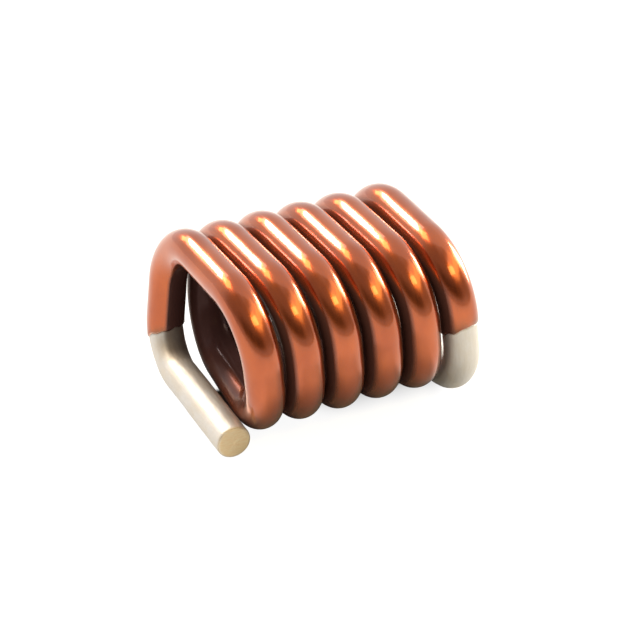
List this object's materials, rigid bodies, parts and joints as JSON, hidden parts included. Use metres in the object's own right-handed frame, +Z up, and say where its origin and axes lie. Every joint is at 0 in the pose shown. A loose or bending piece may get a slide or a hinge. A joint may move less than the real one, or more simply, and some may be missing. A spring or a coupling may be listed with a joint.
{
  "type": "air core inductor",
  "caption": "Air core inductor: one thick enamelled copper wire wound into a rounded-square coil, with its two stripped and tinned leads bent flat under the ends for surface soldering.",
  "frame": {"origin": "centre of the coil's outline, on the plane that the undersides of its two leads rest on", "axes": "+X along the coil's axis from the near lead to the far lead, +Z up from the leads, and -Y towards the front, where the near lead's cut end points"},
  "size_m": [0.0072, 0.0056, 0.0047],
  "materials": {
    "enamelled_copper": "bright copper wire under a clear amber enamel, glossy",
    "tin_solder": "hand-dipped tin, satin, slightly uneven"
  },
  "bodies": {
    "root": {"coil_wire": "enamelled_copper", "solder_coat_near": "tin_solder", "solder_coat_far": "tin_solder"}
  },
  "joints": []
}
